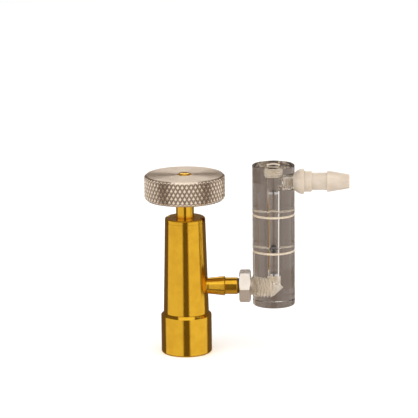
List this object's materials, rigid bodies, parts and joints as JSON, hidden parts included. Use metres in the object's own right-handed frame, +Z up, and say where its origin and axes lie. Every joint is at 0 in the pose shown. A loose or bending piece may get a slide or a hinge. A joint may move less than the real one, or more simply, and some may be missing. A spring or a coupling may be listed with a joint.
{
  "type": "gas regulator",
  "caption": "Miniature brass piston gas regulator with a knurled adjusting knob, a screw-on inlet collar, a clear side flow tube with a float ball, and a hose barb.",
  "frame": {"origin": "centre of the inlet's mouth, in the plane of the collar's bottom face", "axes": "+Z up the barrel to the adjusting knob, +X out to the flow tube and the hose barb"},
  "size_m": [0.0766, 0.0302, 0.072],
  "materials": {
    "brass": "satin turned brass",
    "knob_nickel": "bright nickel plate over a coarse knurl",
    "fitting_nickel": "satin nickel plate",
    "steel": "polished steel",
    "spring_steel": "drawn spring wire",
    "sintered_bronze": "coarse sintered bronze",
    "clear_acrylic": "polished clear acrylic, slightly smoky",
    "natural_nylon": "milky natural nylon",
    "seat_plastic": "soft white plastic",
    "black_rubber": "matt black rubber"
  },
  "bodies": {
    "housing": {"body": "brass", "bonnet": "brass", "inlet_coupling": "brass", "outlet_stub": "brass", "lock_sleeve": "brass", "seat_insert": "brass", "flow_jet": "brass", "filter_retainer": "brass", "hex_adapter": "fitting_nickel", "top_plug": "steel", "lower_ball_stop": "steel", "upper_ball_stop": "steel", "depressor_pin": "steel", "range_spring": "spring_steel", "poppet_spring": "spring_steel", "inlet_filter": "sintered_bronze", "flow_tube": "clear_acrylic", "hose_barb": "natural_nylon", "inlet_gasket": "seat_plastic", "coupling_seal": "black_rubber", "seat_insert_seal": "black_rubber", "top_plug_seal": "black_rubber", "adapter_washer": "black_rubber"},
    "spring_button": {"spring_button": "brass", "thrust_ball": "steel"},
    "knob": {"knob": "knob_nickel", "adjusting_stem": "brass"},
    "piston": {"piston": "brass", "piston_seal": "black_rubber"},
    "poppet": {"poppet": "brass", "seat_disc": "seat_plastic"},
    "float_ball": {"float_ball": "steel"}
  },
  "joints": [
    {"name": "spring_button_slide", "type": "slide", "parent": "housing", "child": "spring_button", "axis": [0, 0, -1], "range_m": [-0.00136, 0.00363], "deforming": ["range_spring"]},
    {"name": "knob_turn", "type": "hinge", "parent": "spring_button", "child": "knob", "pos_m": [0, 0, 0.06], "axis": [0, 0, -1], "range_deg": [-540, 1440]},
    {"name": "piston_travel", "type": "slide", "parent": "housing", "child": "piston", "axis": [0, 0, -1], "range_m": [0, 0.0008], "stiffness_N_per_m": 500, "springref_m": -0.0002},
    {"name": "poppet_lift", "type": "slide", "parent": "housing", "child": "poppet", "axis": [0, 0, -1], "range_m": [0, 0.00081], "deforming": ["poppet_spring"]},
    {"name": "float_ball_travel", "type": "slide", "parent": "housing", "child": "float_ball", "axis": [0, 0, 1], "range_m": [-0.0077, 0.0195]}
  ],
  "couplings": [
    {"joint": "knob_turn", "follows": "spring_button_slide", "rad_per_m": 6926.4},
    {"joint": "poppet_lift", "follows": "piston_travel", "ratio": 1}
  ]
}
